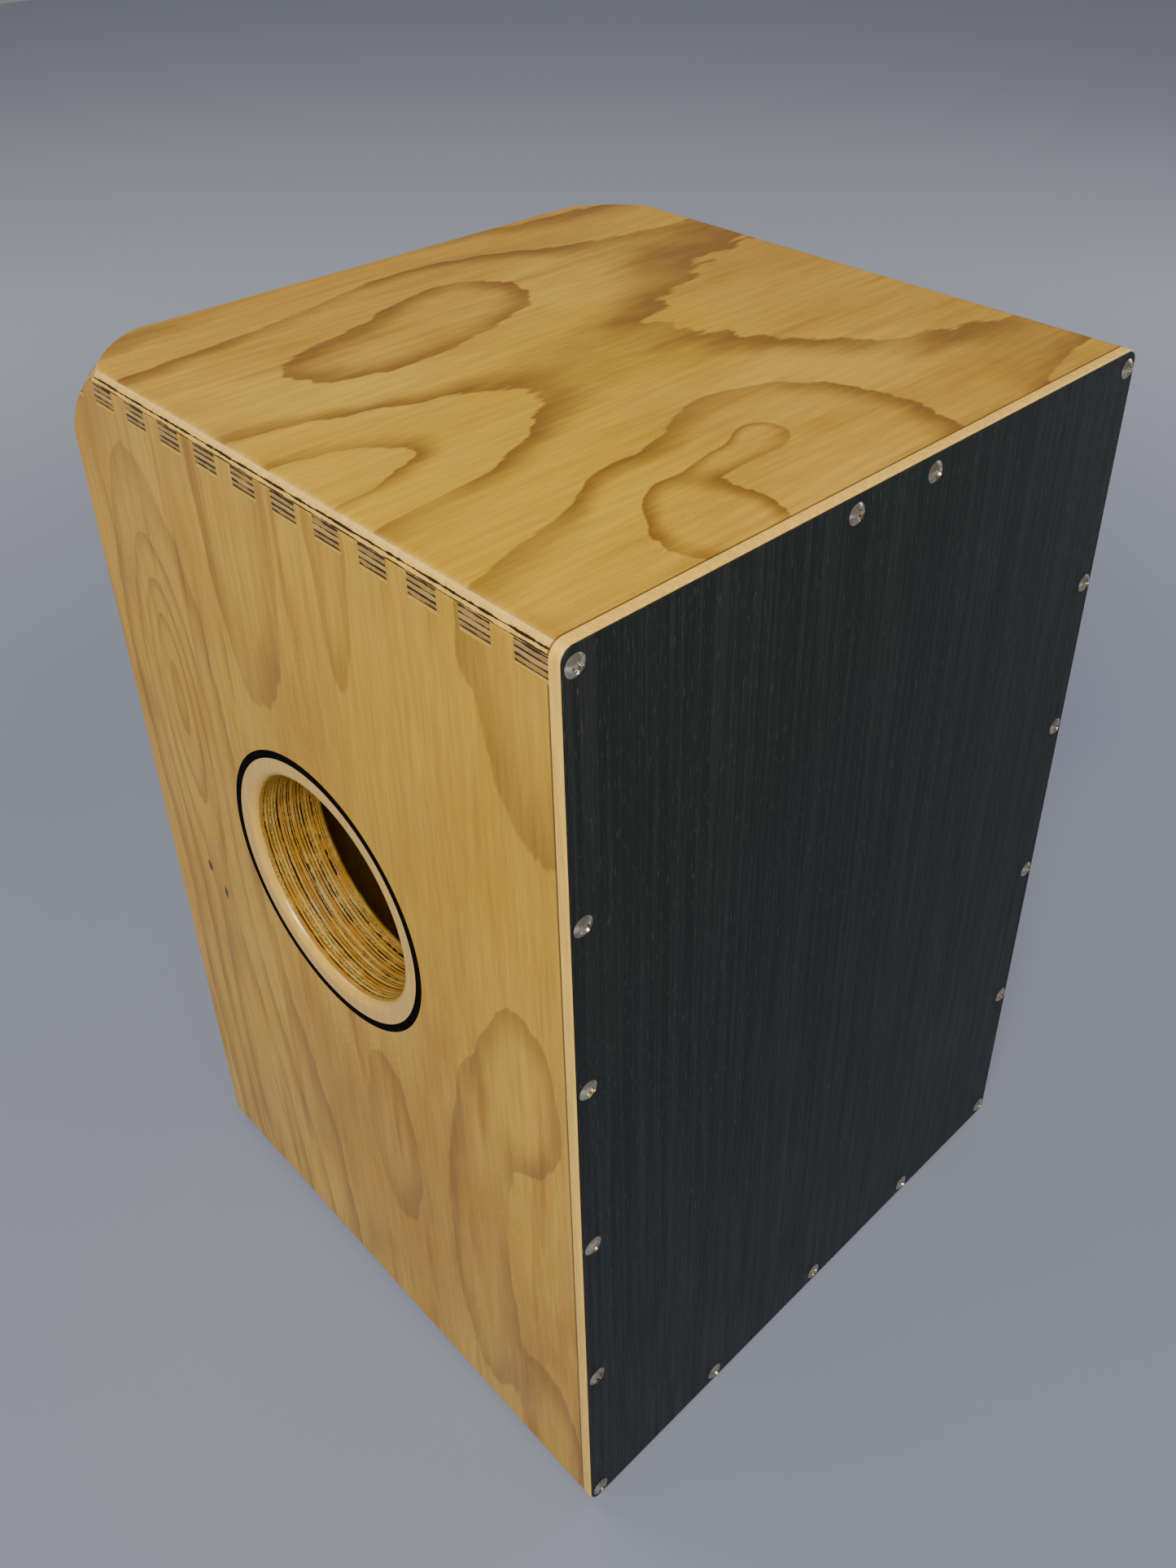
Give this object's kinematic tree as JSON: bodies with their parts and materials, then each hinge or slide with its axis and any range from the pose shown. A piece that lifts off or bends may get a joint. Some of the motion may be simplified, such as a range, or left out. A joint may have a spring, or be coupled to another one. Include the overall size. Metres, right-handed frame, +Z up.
{
  "type": "cajon",
  "caption": "Upright plywood box drum with a black striking board, rounded back seat corners, a laminated sound port in the left side and tunable snare strings inside.",
  "frame": {"origin": "centre of the footprint, on the surface that the feet stand on", "axes": "+Z up to the seat; the striking board faces -Y; the sound port is in the -X side"},
  "size_m": [0.32, 0.3136, 0.484],
  "materials": {
    "figured_pine": "gloss varnish over figured pine veneer",
    "plywood": "varnished plywood with dark glue lines",
    "stained_face": "black stained veneer, satin",
    "black_inlay": "black inlay strip, varnished",
    "beech": "sanded beech, oiled",
    "zinc_steel": "bright zinc plated",
    "string_steel": "plain and wound steel string",
    "nickel_plate": "nickel plated, lightly brushed",
    "brass": "turned brass",
    "key_button": "cream button, polished",
    "foot_rubber": "matt black rubber"
  },
  "bodies": {
    "box": {"left_side": "figured_pine", "right_side": "figured_pine", "top_panel": "plywood", "seat_sheet": "figured_pine", "bottom_panel": "plywood", "back_panel": "plywood", "tapa_core": "plywood", "tapa_face": "stained_face", "tapa_screws": "zinc_steel", "port_ring": "plywood", "port_inlay": "black_inlay", "port_backing_front": "plywood", "port_backing_rear": "plywood", "top_fillet_left": "plywood", "top_fillet_right": "plywood", "bottom_fillet_left": "plywood", "bottom_fillet_right": "plywood", "back_fillet_left": "plywood", "back_fillet_right": "plywood", "corner_block_left": "plywood", "corner_block_right": "plywood", "foot_front_left": "foot_rubber", "foot_front_right": "foot_rubber", "foot_rear_left": "foot_rubber", "foot_rear_right": "foot_rubber", "foot_screws": "zinc_steel", "string_beam": "beech", "beam_cleat_left": "plywood", "beam_cleat_right": "plywood", "string_rail": "beech", "hitch_screws": "zinc_steel", "ball_ends": "brass", "string_left": "string_steel", "string_right": "string_steel", "tuner_plate_left": "nickel_plate", "tuner_plate_right": "nickel_plate", "tuner_screws": "zinc_steel"},
    "key_left": {"tuner_worm_left": "nickel_plate", "tuner_key_left": "key_button"},
    "post_left": {"tuner_post_left": "nickel_plate", "tuner_gear_left": "brass", "gear_screw_left": "zinc_steel", "string_winding_left": "string_steel"},
    "key_right": {"tuner_worm_right": "nickel_plate", "tuner_key_right": "key_button"},
    "post_right": {"tuner_post_right": "nickel_plate", "tuner_gear_right": "brass", "gear_screw_right": "zinc_steel", "string_winding_right": "string_steel"}
  },
  "joints": [
    {"name": "key_turn_left", "type": "hinge", "parent": "box", "child": "key_left", "pos_m": [-0.0691, -0.11605, 0.089], "axis": [0, 0, 1], "continuous": true},
    {"name": "post_turn_left", "type": "hinge", "parent": "box", "child": "post_left", "pos_m": [-0.06, -0.11605, 0.089], "axis": [0, 1, 0], "continuous": true},
    {"name": "key_turn_right", "type": "hinge", "parent": "box", "child": "key_right", "pos_m": [0.0691, -0.11605, 0.089], "axis": [0, 0, 1], "continuous": true},
    {"name": "post_turn_right", "type": "hinge", "parent": "box", "child": "post_right", "pos_m": [0.06, -0.11605, 0.089], "axis": [0, 1, 0], "continuous": true}
  ],
  "couplings": [
    {"joint": "post_turn_left", "follows": "key_turn_left", "ratio": 0.071429},
    {"joint": "post_turn_right", "follows": "key_turn_right", "ratio": 0.071429}
  ]
}
